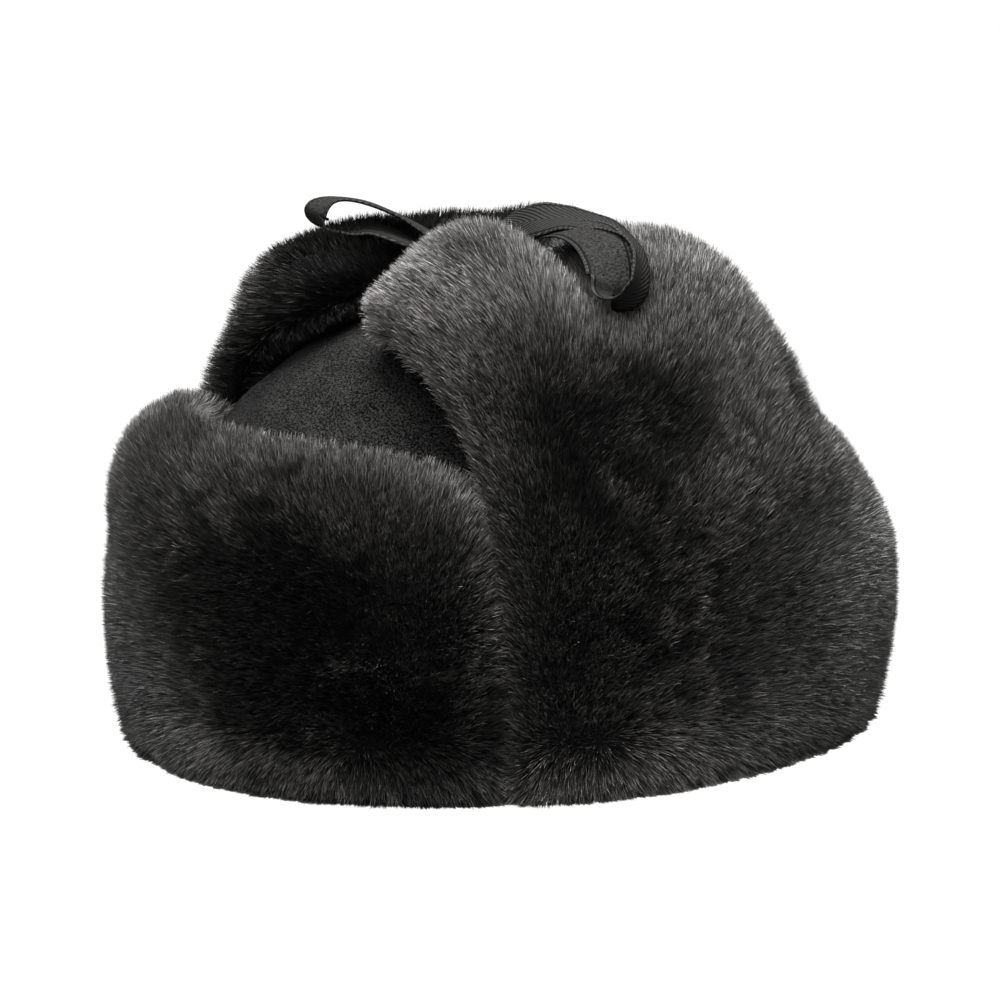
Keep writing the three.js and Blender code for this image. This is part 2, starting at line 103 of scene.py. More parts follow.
def wallPoint(angle, z):
    share = wallShare(z)
    x = crownAcross * share * np.sin(angle)
    y = -crownAlong * share * np.cos(angle)
    return np.stack([x, y, z + 0 * angle], -1)


def crownNormal(p):
    x, y = p[..., 0] / crownAcross, p[..., 1] / crownAlong
    rho = np.hypot(x, y)
    flat = np.stack([x / crownAcross, y / crownAlong, 0 * x], -1)
    slope = (crownHeight - wallHeight) * (4 / 3) * np.maximum(1 - rho * rho, 1e-6) ** (-1 / 3)
    domed = np.concatenate([flat[..., :2] * slope[..., None], np.ones(x.shape + (1,))], -1)
    onWall = (p[..., 2] <= wallHeight + 1e-6) | (rho > 0.9999)
    return unit(np.where(onWall[..., None], flat, domed))


def roundOff(left, stretch):
    return np.sqrt(np.maximum(1 - np.maximum(1 - left / stretch, 0) ** 2, 0))


# Smooth repeatable unevenness from a few waves
def waveField(points, size, seed, waves=7):
    rng = np.random.default_rng(seed)
    total = 0
    for _ in range(waves):
        heading = unit(rng.normal(size=3))
        finer, phase = rng.uniform(0.6, 1.5), rng.uniform(0, 6.3)
        total = total + np.sin(points @ heading * (2 * math.pi / size) * finer + phase)
    return total / math.sqrt(waves / 2)


# Quads over a grid whose columns close on themselves, as its rows do if asked
def gridQuads(rows, columns, closed=False, flipped=False):
    i, j = np.meshgrid(np.arange(rows if closed else rows - 1), np.arange(columns), indexing="ij")
    n, k = (i + 1) % rows, (j + 1) % columns
    corners = [(i, j), (i, k), (n, k), (n, j)] if flipped else [(i, j), (n, j), (n, k), (i, k)]
    return np.stack([row * columns + column for row, column in corners], -1).reshape(-1, 4)


def newPiece(name, points, faces, material, nodes, smooth=True, values=None):
    mesh = bpy.data.meshes.new(name)
    points = np.asarray(points, np.float32).reshape(-1, 3)
    mesh.vertices.add(len(points))
    mesh.vertices.foreach_set("co", ((points + hatShift) * mm).astype(np.float32).ravel())
    sizes = np.concatenate([np.full(len(f), f.shape[1]) for f in faces])
    corners = np.concatenate([f.ravel() for f in faces])
    mesh.loops.add(len(corners))
    mesh.loops.foreach_set("vertex_index", corners.astype(np.int32))
    mesh.polygons.add(len(sizes))
    starts = np.concatenate([[0], np.cumsum(sizes)[:-1]])
    mesh.polygons.foreach_set("loop_start", starts.astype(np.int32))
    mesh.polygons.foreach_set("use_smooth", np.full(len(sizes), smooth))
    for key, value in (values or {}).items():
        field = mesh.attributes.new(key, "FLOAT", "POINT")
        field.data.foreach_set("value", np.asarray(value, np.float32))
    mesh.update(calc_edges=True)
    mesh.validate()
    mesh.materials.append(material)
    piece = bpy.data.objects.new(name, mesh)
    bpy.context.scene.collection.objects.link(piece)
    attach(piece, "root")
    if nodes:
        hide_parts(*nodes)


# Camera, from the wearer's front left and a little above
camera = {"azimuth": 55, "elevation": 12.5, "distance": 1.4, "lens": 152, "aimHeight": 0.072}
turn, lift = math.radians(camera["azimuth"]), math.radians(camera["elevation"])
backward = Vector((math.sin(turn) * math.cos(lift), -math.cos(turn) * math.cos(lift), math.sin(lift)))
aim = Vector((0, hatShift[1] * mm, camera["aimHeight"]))
cameraData = bpy.data.cameras.new("camera")
cameraData.lens = camera["lens"]
cameraObject = bpy.data.objects.new("camera", cameraData)
cameraObject.location = aim + backward * camera["distance"]
cameraObject.rotation_euler = (-backward).to_track_quat("-Z", "Y").to_euler()
bpy.context.scene.collection.objects.link(cameraObject)
bpy.context.scene.camera = cameraObject


# Shader helpers
def newMaterial(name, look):
    material = bpy.data.materials.new(name)
    material.use_nodes = True
    shader = material.node_tree.nodes["Principled BSDF"]
    shader.inputs["Roughness"].default_value = look["roughness"]
    shader.inputs["Specular IOR Level"].default_value = look["specular"]
    return material, material.node_tree, shader


def newGroup(name, inputs, outputs):
    group = bpy.data.node_groups.new(name, "ShaderNodeTree")
    for label, value in inputs:
        socket = group.interface.new_socket(label, in_out="INPUT", socket_type="NodeSocketFloat")
        socket.default_value = value
    for label in outputs:
        group.interface.new_socket(label, in_out="OUTPUT", socket_type="NodeSocketFloat")
    return group, group.nodes.new("NodeGroupInput"), group.nodes.new("NodeGroupOutput")


def useGroup(tree, group, **settings):
    node = tree.nodes.new("ShaderNodeGroup")
    node.node_tree = group
    for key, value in settings.items():
        node.inputs[key].default_value = value
    return node


def attributeOf(tree, name):
    node = tree.nodes.new("ShaderNodeAttribute")
    node.attribute_name = name
    return node.outputs["Fac"]


def mathNode(tree, operation, a, b=None, clamp=False):
    node = tree.nodes.new("ShaderNodeMath")
    node.operation = operation
    node.use_clamp = clamp
    for socket, value in zip(node.inputs, (a, b)):
        if value is None:
            continue
        if isinstance(value, (int, float)):
            socket.default_value = value
        else:
            tree.links.new(value, socket)
    return node.outputs[0]


# A row of equal ridges, one for each whole number that the value passes
def ridges(tree, value):
    return mathNode(tree, "ABSOLUTE", mathNode(tree, "SINE", mathNode(tree, "MULTIPLY", value, math.pi)))


def aboveMiddle(tree, value, middle, gain):
    return mathNode(tree, "MULTIPLY", mathNode(tree, "SUBTRACT", value, middle), gain)


def mixColour(tree, factor, a, b):
    node = tree.nodes.new("ShaderNodeMix")
    node.data_type = "RGBA"
    for socket, value in ((node.inputs["Factor"], factor), (node.inputs[6], a), (node.inputs[7], b)):
        if hasattr(value, "links"):
            tree.links.new(value, socket)
        else:
            socket.default_value = value
    return node.outputs[2]


def addBump(tree, shader, height, strength, distance):
    bump = tree.nodes.new("ShaderNodeBump")
    bump.inputs["Strength"].default_value = strength
    bump.inputs["Distance"].default_value = distance
    tree.links.new(height, bump.inputs["Height"])
    tree.links.new(bump.outputs["Normal"], shader.inputs["Normal"])


# Broad patches over a cloth, from the place on the hat
patchGroup, groupIn, groupOut = newGroup("clothPatches", [("Size", 0.02), ("Detail", 3)], ["Patch"])
place = patchGroup.nodes.new("ShaderNodeTexCoord")
noise = patchGroup.nodes.new("ShaderNodeTexNoise")
patchGroup.links.new(place.outputs["Object"], noise.inputs["Vector"])
patchGroup.links.new(mathNode(patchGroup, "DIVIDE", 1.0, groupIn.outputs["Size"]), noise.inputs["Scale"])
patchGroup.links.new(groupIn.outputs["Detail"], noise.inputs["Detail"])
patchGroup.links.new(noise.outputs["Fac"], groupOut.inputs["Patch"])

# Fur: each hair has its own tone, darker towards the root as painted shade for the depth of the pile, and
# broad patches vary it
furLook = {
    "dark": (0.004, 0.0038, 0.0038, 1), "light": (0.24, 0.232, 0.22, 1), "root": (0.0008, 0.0008, 0.0008, 1),
    "roughness": 0.42, "specular": 0.25, "tip": 2.6, "patch": 0.016, "patchLow": 0.55, "patchGain": 0.9,
}
furMaterial, tree, shader = newMaterial("furPile", furLook)
patch = useGroup(tree, patchGroup, Size=furLook["patch"], Detail=2.0)
patchTone = mathNode(tree, "MULTIPLY", patch.outputs["Patch"], furLook["patchGain"])
patchTone = mathNode(tree, "ADD", furLook["patchLow"], patchTone)
toned = mathNode(tree, "MULTIPLY", attributeOf(tree, "tone"), patchTone, True)
hairColour = mixColour(tree, toned, furLook["dark"], furLook["light"])
# Painted shade: each hair darkens from its tip to the root colour, standing in for the shade deep in the pile
atTip = mathNode(tree, "POWER", attributeOf(tree, "along"), furLook["tip"])
tree.links.new(mixColour(tree, atTip, furLook["root"], hairColour), shader.inputs["Base Color"])

# Cloth that the fur grows from
backingLook = {
    "dark": (0.002, 0.002, 0.002, 1), "light": (0.005, 0.005, 0.005, 1),
    "roughness": 0.95, "specular": 0.1, "patch": 0.002,
}
backingMaterial, tree, shader = newMaterial("furBacking", backingLook)
patch = useGroup(tree, patchGroup, Size=backingLook["patch"], Detail=4.0)
mottled = mixColour(tree, patch.outputs["Patch"], backingLook["dark"], backingLook["light"])
tree.links.new(mottled, shader.inputs["Base Color"])

# Brushed wool: a fine mottle with a low bump
woolLook = {
    "dark": (0.0003, 0.0003, 0.0003, 1), "light": (0.009, 0.0088, 0.0086, 1),
    "roughness": 0.95, "specular": 0.02, "bump": 0.9, "bumpDistance": 0.0004,
    "grain": 0.0012, "fine": 0.0006, "broad": 0.012, "middle": 0.5,
    "grainGain": 1.3, "fineGain": 4.6, "broadGain": 0.8,
}
woolMaterial, tree, shader = newMaterial("brushedWool", woolLook)
grain = useGroup(tree, patchGroup, Size=woolLook["grain"], Detail=3.0).outputs["Patch"]
fine = useGroup(tree, patchGroup, Size=woolLook["fine"], Detail=2.0).outputs["Patch"]
broad = useGroup(tree, patchGroup, Size=woolLook["broad"], Detail=2.0).outputs["Patch"]
speckle = aboveMiddle(tree, grain, woolLook["middle"], woolLook["grainGain"])
speckle = mathNode(tree, "ADD", speckle, aboveMiddle(tree, fine, woolLook["middle"], woolLook["fineGain"]))
speckle = mathNode(tree, "ADD", speckle, mathNode(tree, "MULTIPLY", broad, woolLook["broadGain"]), True)
tree.links.new(mixColour(tree, speckle, woolLook["dark"], woolLook["light"]), shader.inputs["Base Color"])
addBump(tree, shader, mathNode(tree, "ADD", grain, fine), woolLook["bump"], woolLook["bumpDistance"])

# Twill tape: lengths across and along it are in millimetres, from its mesh
tapeLook = {
    "valley": (0.0002, 0.0002, 0.0002, 1), "rib": (0.0095, 0.0093, 0.009, 1),
    "selvage": (0.014, 0.0137, 0.0132, 1),
    "roughness": 0.9, "specular": 0.04, "bump": 0.8, "bumpDistance": 0.0003,
    "halfWidth": 8.0, "selvageWidth": 1.0, "grooveReach": 1.8, "bead": 2.0, "beadSharp": 3.0,
    "threadLow": 0.55, "threadGain": 0.45, "fine": 0.0007, "fineLow": 0.45,
    "plainLow": 0.1, "plainMiddle": 0.36, "plainGain": 2.7,
}
# Herringbone: slanting ribs that meet on the centre line, with a beaded selvage beside a groove
herringGroup, groupIn, groupOut = newGroup(
    "herringbone", [("Pitch", 2.4), ("Slant", 1.7), ("Thread", 0.8)], ["Rib", "Height", "Selvage", "Groove"])
weave = lambda operation, a, b=None: mathNode(herringGroup, operation, a, b)
tapeAlong = attributeOf(herringGroup, "tapeAlong")
tapeAcross = attributeOf(herringGroup, "tapeAcross")
fromMiddle = weave("ABSOLUTE", tapeAcross)
slanted = weave("MULTIPLY", fromMiddle, groupIn.outputs["Slant"])
slanted = weave("ADD", tapeAlong, slanted)
wave = ridges(herringGroup, weave("DIVIDE", slanted, groupIn.outputs["Pitch"]))
threads = ridges(herringGroup, weave("DIVIDE", tapeAcross, groupIn.outputs["Thread"]))
threads = weave("MULTIPLY", threads, tapeLook["threadGain"])
threads = weave("ADD", tapeLook["threadLow"], threads)
fromEdge = weave("SUBTRACT", tapeLook["halfWidth"], fromMiddle)
bead = ridges(herringGroup, weave("DIVIDE", tapeAlong, tapeLook["bead"]))
bead = weave("POWER", bead, tapeLook["beadSharp"])
atSelvage = weave("LESS_THAN", fromEdge, tapeLook["selvageWidth"])
inside = weave("SUBTRACT", 1.0, atSelvage)
nearEdge = weave("LESS_THAN", fromEdge, tapeLook["grooveReach"])
woven = {
    "Rib": weave("MULTIPLY", wave, threads), "Height": wave,
    "Selvage": weave("MULTIPLY", atSelvage, bead),
    "Groove": weave("MULTIPLY", nearEdge, inside),
}
for label, value in woven.items():
    herringGroup.links.new(value, groupOut.inputs[label])

# The herringbone shows on one face of the tape, and the other is plain
tapeMaterial, tree, shader = newMaterial("twillTape", tapeLook)
herring = useGroup(tree, herringGroup)
fine = useGroup(tree, patchGroup, Size=tapeLook["fine"], Detail=2.0).outputs["Patch"]
reverse = attributeOf(tree, "tapeReverse")
obverse = mathNode(tree, "SUBTRACT", 1.0, reverse)
thread = mathNode(tree, "ADD", tapeLook["fineLow"], fine)
thread = mathNode(tree, "MULTIPLY", herring.outputs["Rib"], thread, True)
plain = aboveMiddle(tree, fine, tapeLook["plainMiddle"], tapeLook["plainGain"])
plain = mathNode(tree, "ADD", tapeLook["plainLow"], plain, True)
thread = mathNode(tree, "MULTIPLY", thread, obverse)
thread = mathNode(tree, "ADD", thread, mathNode(tree, "MULTIPLY", plain, reverse))
face = mixColour(tree, thread, tapeLook["valley"], tapeLook["rib"])
face = mixColour(tree, herring.outputs["Groove"], face, tapeLook["valley"])
face = mixColour(tree, herring.outputs["Selvage"], face, tapeLook["selvage"])
tree.links.new(face, shader.inputs["Base Color"])
ribHeight = mathNode(tree, "MULTIPLY", herring.outputs["Height"], obverse)
addBump(tree, shader, ribHeight, tapeLook["bump"], tapeLook["bumpDistance"])
print("materials made")

# Crown: a hollow wool shell with a slightly uneven outside
crown = {
    "columns": 120, "wallRows": 10, "domeRows": 28,
    "unevenness": 0.35, "waveSize": 34, "waveSeed": 5, "sunk": 0.3,
}


def crownSkin(inward):
    across, alongHat, top = crownAcross - inward, crownAlong - inward, crownHeight - inward
    angle = np.linspace(0, 2 * math.pi, crown["columns"], endpoint=False)
    rows = []
    for j in range(crown["wallRows"]):
        z = wallHeight * j / crown["wallRows"]
        rows.append((wallShare(z), z))
    for j in range(crown["domeRows"]):
        rho = math.cos(j / crown["domeRows"] * math.pi / 2)
        rows.append((rho, domeHeight(rho, top)))
    x, y = across * np.sin(angle), -alongHat * np.cos(angle)
    return np.array([np.stack([x * share, y * share, 0 * angle + z], -1) for share, z in rows])


def crownDents(points):
    return waveField(points, crown["waveSize"], crown["waveSeed"])[..., None] * crown["unevenness"]


def crownMesh():
    outer, inner = crownSkin(0), crownSkin(hat["crownWall"])
    outer = outer + crownNormal(outer) * (crownDents(outer) - crown["sunk"])
    outer[0, :, 2] = 0
    outerTop = [[0, 0, crownHeight - crown["sunk"]]]
    innerTop = [[0, 0, crownHeight - hat["crownWall"]]]
    points = np.concatenate([outer.reshape(-1, 3), outerTop, inner.reshape(-1, 3), innerTop])
    rows, columns = outer.shape[:2]
    start = rows * columns + 1
    c = np.arange(columns)
    n = (c + 1) % columns
    quads = []
    for j in range(rows - 1):
        a, b = j * columns + c, j * columns + n
        quads.append(np.stack([a, b, b + columns, a + columns], -1))
        quads.append(np.stack([a, a + columns, b + columns, b], -1) + start)
    quads.append(np.stack([n, c, c + start, n + start], -1))
    rim, top = (rows - 1) * columns, 0 * c + rows * columns
    fans = [np.stack([rim + c, rim + n, top], -1), np.stack([rim + n, rim + c, top], -1) + start]
    faces = [np.concatenate(quads), np.concatenate(fans)]
    newPiece("crown_wool", points, faces, woolMaterial, ["crown"])


crownMesh()

# A hair that would reach under the floor lies on it instead, spread outwards
floorLie = {"height": 0.4, "uneven": 0.25, "waves": [9.7, 7.3], "spill": 0.15, "tuftSpill": 0.5}


# Each hair is a thin blade, widest a little below its tip
def hairMesh(name, root, tip, wide, widest, tone, tuft, material, nodes):
    count = len(root)
    points = np.stack([root, root + (tip - root) * widest + wide, tip], 1).reshape(-1, 3)
    under = np.maximum(floorLie["height"] - points[:, 2], 0)[:, None]
    spill = np.repeat(floorLie["spill"] + floorLie["tuftSpill"] * tuft, 3)[:, None]
    points = points + unit(points * [1, 1, 0]) * under * spill
    low = points[:, 2] < floorLie["height"]
    waveX, waveY = floorLie["waves"]
    uneven = np.abs(np.sin(points[low, 0] * waveX + points[low, 1] * waveY))
    points[low, 2] = floorLie["height"] + floorLie["uneven"] * uneven
    values = {"along": np.tile([0.0, widest, 1.0], count), "tone": np.repeat(tone, 3)}
    faces = np.arange(count * 3).reshape(-1, 3)
    newPiece(name, points, [faces], material, nodes, smooth=False, values=values)


# Nap: short hairs lying on the wool, down to halfway up the wall
nap = {
    "hairs": 42000, "seed": 11, "length": 1.5, "halfWidth": 0.09, "widest": 0.5, "sunk": 0.45,
    "wallPart": 0.45, "wallReach": 0.5, "flat": 0.9, "lift": (0.1, 0.45), "lengths": (0.5, 1.2),
}


def crownNap():
    rng = np.random.default_rng(nap["seed"])
    count = nap["hairs"]
    angle = rng.uniform(0, 2 * math.pi, count)
    height = rng.uniform(-nap["wallPart"], 1, count)
    rho = np.sqrt(np.maximum(1 - np.maximum(height, 0) ** 2, 0))
    onWallAt = wallHeight * (1 + height / nap["wallPart"] * nap["wallReach"])
    z = np.where(height < 0, onWallAt, domeHeight(rho, crownHeight))
    root = np.stack([crownAcross * rho * np.sin(angle), -crownAlong * rho * np.cos(angle), z], -1)
    normal = crownNormal(root)
    root = root + normal * (crownDents(root) - nap["sunk"])
    lean = unit(np.cross(normal, rng.normal(size=(count, 3))))
    heading = lean * nap["flat"] + normal * rng.uniform(*nap["lift"], (count, 1))
    tip = root + heading * nap["length"] * rng.uniform(*nap["lengths"], (count, 1))
    wide = unit(np.cross(tip - root, normal)) * nap["halfWidth"]
    tone, tuft = rng.uniform(0, 1, count), np.zeros(count)
    hairMesh("crown_nap", root, tip, wide, nap["widest"], tone, tuft, woolMaterial, [])


crownNap()
print("crown made")

# Front flap standing up around the brow
frontFlap = {
    "halfAngle": 57, "height": 108, "endHeight": 96, "bowPower": 4, "lean": 4, "corner": 13, "round": 31,
    "thinner": 2.5, "topThickness": 7, "seamSlant": 3, "fullBelow": 0.73, "endShare": 0.82, "endRound": 12,
    "sections": 150, "endInset": 0.026,
}

# Ear flap by angle from the front, as in the part's own table
earStations = {
    "around": [57.4, 66, 78, 92, 106, 118, 128, 137, 145, 157, 180],
    "aimAcross": [0.15, 0.14, 0.14, 0.14, 0.14, 0.16, 0.2, 0.3, 0.35, 0.2, 0],
    "aimAlong": [-0.57, -0.45, -0.26, 0, 0.26, 0.46, 0.55, 0.58, 0.58, 0.6, 0.6],
    "cover": [0.87, 0.97, 1, 1, 1, 0.95, 0.74, 0.28, 0.03, 0, 0],
    "topGap": [0.35, 0.29, 0.23, 0.19, 0.19, 0.19, 0.19, 0.19, 0.16, 0.13, 0.13],
    "lowFuller": [0, 0, 0, 0, 0, 0.02, 0.02, 0.03, 0.03, 0.05, 0.03],
    "fuller": [0, 0, 0, 0, -0.03, 0, -0.05, -0.24, -0.15, 0, 0],
    "topFuller": [0, 0, 0, 0, 0.08, 0.17, 0.16, 0, 0, 0, 0],
}
# Each pressed dent of the top: where along the crown, its half width, its depth in fur depths
flapSides = {
    "left": {
        "edgeFuller": 0.13, "edgeTopFuller": 0, "edgeCover": 0, "frontInset": 0.037,
        "pressed": [(0.01, 0.12, 0.35), (-0.23, 0.12, -0.23)],
    },
    "right": {
        "edgeFuller": 0, "edgeTopFuller": 0.32, "edgeCover": 0.06, "frontInset": 0.03,
        "pressed": [(-0.39, 0.21, 0.06), (-0.08, 0.09, 0.05), (0.13, 0.11, 0.1)],
    },
}

# Pairs are heights as shares of the wall's, and the second of a pair named top is one of the crown's
earFlap = {
    "topThickness": 15, "round": 18, "neckHeight": 83, "neckRound": 30, "seamFade": 4,
    "sections": 160, "wallSteps": 21, "domeSteps": 61,
    "rise": (0.88, 1.3), "edgeRise": (0.88, 1.22), "clothRise": (0.25, 1.3), "topRise": (1.37, 0.94),
    "topDents": (1.37, 0.97), "edgeReach": 0.28, "edgeStart": 5, "edgeRound": 16, "leastPile": 1.5,
}
# A tuck where the flap leaves the low neck stretch
tuck = {"depth": 4, "around": 138, "halfAround": 9, "height": 98, "halfHeight": 13}

# The cloth body lies this deep under the tips of the fur
pile = {
    "depth": 7, "topDepth": 4.5, "edge": 6, "hem": 3, "hemSag": 1.5, "cap": 5, "overUp": 3,
    "outerRows": 84, "topRows": 8, "innerRows": 26, "lowRows": 8, "capRows": 6, "bodyStep": 3,
}
zones = {"outer": 0, "top": 1, "inner": 2, "hem": 3, "end": 4}


def standAt(z):
    height = np.where(z < wallHeight, z / wallHeight, 1 + (z - wallHeight) / (crownHeight - wallHeight))
    return furDepth * smoothRead(furStand, "height", "stand", height)


def spreadOver(side, count):
    at = np.linspace(0, len(side) - 1, count)
    low = np.minimum(at.astype(int), len(side) - 2)
    return side[low] + (side[low + 1] - side[low]) * (at - low)[:, None]


# One closed section: up the outside, over the edge, down the inside and back along the hem.
# Its core is the line in the middle that a rounded end draws in to.
def closeSection(outer, inner, upOuter, upInner):
    half = (outer[-1] - inner[-1]) / 2
    middle = (outer[-1] + inner[-1]) / 2
    rise = unit(outer[-1] - outer[-3] + inner[-1] - inner[-3]) * np.linalg.norm(half)
    turnTop = np.linspace(0, math.pi, pile["topRows"] + 2)[1:-1]
    over = middle + half * np.cos(turnTop)[:, None] + rise * np.sin(turnTop)[:, None]
    f = np.linspace(0, 1, pile["lowRows"] + 2)[1:-1]
    under = inner[0] + (outer[0] - inner[0]) * f[:, None]
    under[:, 2] -= pile["hemSag"] * np.sin(f * math.pi)
    loop = np.concatenate([outer, over, inner[::-1], under])
    core = np.concatenate([
        (outer + spreadOver(inner, len(outer))) / 2, np.repeat(middle[None], len(over), 0),
        (inner[::-1] + spreadOver(outer, len(inner))[::-1]) / 2,
        np.repeat(((inner[0] + outer[0]) / 2)[None], len(under), 0),
    ])
    upOver = np.full(len(over), upOuter[-1] + pile["overUp"])
    up = np.concatenate([upOuter, upOver, upInner[::-1], np.zeros(len(under))])
    sides = (("outer", outer), ("top", over), ("inner", inner), ("hem", under))
    zone = np.concatenate([np.full(len(side), float(zones[name])) for name, side in sides])
    return loop, core, up, zone


def hemTuckedIn(s):
    return hat["hemDepth"] * (1 - roundOff(s, hat["hemRound"]))


def frontSection(share):
    degrees = mix(-frontFlap["halfAngle"], frontFlap["halfAngle"], share)
    off = abs(degrees) / frontFlap["halfAngle"]
    bow = mix(frontFlap["endHeight"], frontFlap["height"], 1 - off ** frontFlap["bowPower"])
    toEnd = (1 - off) * math.radians(frontFlap["halfAngle"]) * crownAlong
    top = bow - frontFlap["corner"] * (1 - roundOff(toEnd, frontFlap["corner"])) - pile["edge"]

    def put(z, out):
        slant = frontFlap["seamSlant"] * np.maximum(1 - z / wallHeight, 0) * degrees / frontFlap["halfAngle"]
        p = wallPoint(np.radians(degrees + slant), np.minimum(z, wallHeight))
        normal = unit(np.stack([p[:, 0] / crownAcross ** 2, p[:, 1] / crownAlong ** 2, 0 * z], -1))
        p = p + normal * out[:, None]
        p[:, 2] = z
        return p

    def cloth(z):
        return hat["bandGap"] + frontFlap["lean"] * z / frontFlap["height"]

    z = np.linspace(pile["hem"], top, pile["outerRows"])
    full = standAt(np.minimum(z, frontFlap["fullBelow"] * wallHeight)) - frontFlap["thinner"] - pile["depth"]
    thin = cloth(z) + frontFlap["topThickness"] - pile["topDepth"]
    side = mix(frontFlap["endShare"], 1, roundOff(toEnd, frontFlap["endRound"]))
    out = (thin + (full - thin) * roundOff(top - z, frontFlap["round"])) * side - hemTuckedIn(z)
    zIn = np.linspace(pile["hem"], top, pile["innerRows"])
    return closeSection(put(z, out), put(zIn, cloth(zIn)), z, zIn)


def earSection(share, side):
    around = mix(earStations["around"][0], 180, share)
    row = {key: float(smoothRead(earStations, "around", key, around)) for key in earStations}
    angle = math.radians(around)
    wallSteps = np.linspace(0, 1, earFlap["wallSteps"])
    slant = np.radians(frontFlap["seamSlant"] * (1 - wallSteps) * (1 - share) ** earFlap["seamFade"])
    w = np.linspace(0, 1, earFlap["domeSteps"])[1:] ** 2
    x, y = mix(math.sin(angle), row["aimAcross"], w), mix(-math.cos(angle), row["aimAlong"], w)
    dome = np.stack([x * crownAcross, y * crownAlong, domeHeight(np.hypot(x, y), crownHeight)], -1)
    line = np.concatenate([wallPoint(angle + slant, wallHeight * wallSteps), dome])
    run = np.concatenate([[0], np.cumsum(np.linalg.norm(np.diff(line, axis=0), axis=1))])
    atEdge = 1 - ease(0, earFlap["edgeReach"], share)
    cover = np.clip(row["cover"] + side["edgeCover"] * atEdge, 0, 1)
    length = mix(earFlap["neckHeight"], run[-1], cover) - pile["edge"]
    fromFront = share * math.radians(180 - earStations["around"][0]) * crownAlong

    def onLine(s):
        return np.stack([np.interp(s, run, line[:, k]) for k in range(3)], -1)

    def onWall(name, z):
        low, high = earFlap[name]
        return ease(low * wallHeight, high * wallHeight, z)

    def onTop(name, z):
        low, high = earFlap[name]
        return ease(low * wallHeight, high * crownHeight, z)

    def put(p, out):
        placed = p + crownNormal(p) * out[:, None]
        placed[:, 0] = np.maximum(placed[:, 0], 0) + hat["pieceGap"] / 2
        return placed

    def cloth(p):
        return mix(hat["bandGap"], furDepth * row["topGap"], onWall("clothRise", p[:, 2]))

    s = np.linspace(pile["hem"], length, pile["outerRows"])
    p = onLine(s)
    z = p[:, 2]
    rise = onWall("rise", z)
    high = furDepth * onTop("topRise", z) * (row["topFuller"] + side["edgeTopFuller"] * atEdge)
    fuller = (1 - rise) * row["lowFuller"] + rise * (row["fuller"] + side["edgeFuller"] * atEdge)
    full = standAt(z) + furDepth * fuller + high - pile["depth"]
    thin = cloth(p) + mix(frontFlap["topThickness"], earFlap["topThickness"], cover) + high - pile["topDepth"]
    stretch = mix(earFlap["neckRound"], earFlap["round"], cover)
    edge = mix(1, roundOff(fromFront + earFlap["edgeStart"], earFlap["edgeRound"]), onWall("edgeRise", z))
    dent = sum(
        furDepth * depth * np.exp(-(((p[:, 1] / crownAlong - middle) / half) ** 2))
        for middle, half, depth in side["pressed"])
    tucked = math.exp(-((around - tuck["around"]) / tuck["halfAround"]) ** 2)
    out = thin + (full - thin) * roundOff(length - s, stretch) * edge - hemTuckedIn(s)
    out = out - tuck["depth"] * tucked * np.exp(-((z - tuck["height"]) / tuck["halfHeight"]) ** 2)
    out = np.maximum(out - dent * onTop("topDents", z), cloth(p) + earFlap["leastPile"])
    sIn = np.linspace(pile["hem"], length, pile["innerRows"])
    pIn = onLine(sIn)
    return closeSection(put(p, out), put(pIn, cloth(pIn)), s, sIn)


# A flap as a fine grid of sections, with a rounded start, and a rounded end if that is free
def flapGrid(sectionAt, columns, startInset, endInset, freeEnd):
    shares = np.linspace(startInset, 1 - endInset, columns)
    made = [sectionAt(share) for share in shares]
    loops, cores, ups, zone = (np.array([m[k] for m in made]) for k in range(4))
    shares = np.repeat(shares[:, None], loops.shape[1], 1)
    turnCap = np.linspace(0, math.pi / 2, pile["capRows"] + 1)[1:]

    def cap(end, inward):
        ahead = unit(loops[end] - loops[inward]) * pile["cap"]
        rows = [cores[end] + (loops[end] - cores[end]) * math.cos(t) + ahead * math.sin(t) for t in turnCap]
        same = lambda field: np.repeat(field[end][None], pile["capRows"], 0)
        atEnd = np.full((pile["capRows"], loops.shape[1]), zones["end"])
        return {"points": np.array(rows), "up": same(ups), "share": same(shares), "zone": atEnd}

    start = cap(0, 1)
    start["points"] = start["points"][::-1]
    stretches = [start, {"points": loops, "up": ups, "share": shares, "zone": zone}]
    if freeEnd:
        stretches.append(cap(-1, -2))
    grid = {key: np.concatenate([part[key] for part in stretches]) for key in start}
    grid["freeEnd"] = freeEnd
    return grid


def earGrid(side):
    return flapGrid(lambda share: earSection(share, side), earFlap["sections"], side["frontInset"], 0, False)


def mirrored(grid):
    return {**grid, "points": grid["points"] * [-1, 1, 1]}


def flapBody(name, grid, node, flip):
    lastRow, step = grid["points"].shape[0] - 1, pile["bodyStep"]
    rows = np.unique(np.append(np.arange(0, lastRow + 1, step), lastRow))
    points = grid["points"][rows][:, ::step]
    nu, nv = points.shape[:2]
    faces = [gridQuads(nu, nv)]
    if not grid["freeEnd"]:
        faces.append((np.arange(nv) + (nu - 1) * nv)[None])
    if flip:
        faces = [face[:, ::-1] for face in faces]
    newPiece(name, points, faces, backingMaterial, [node])
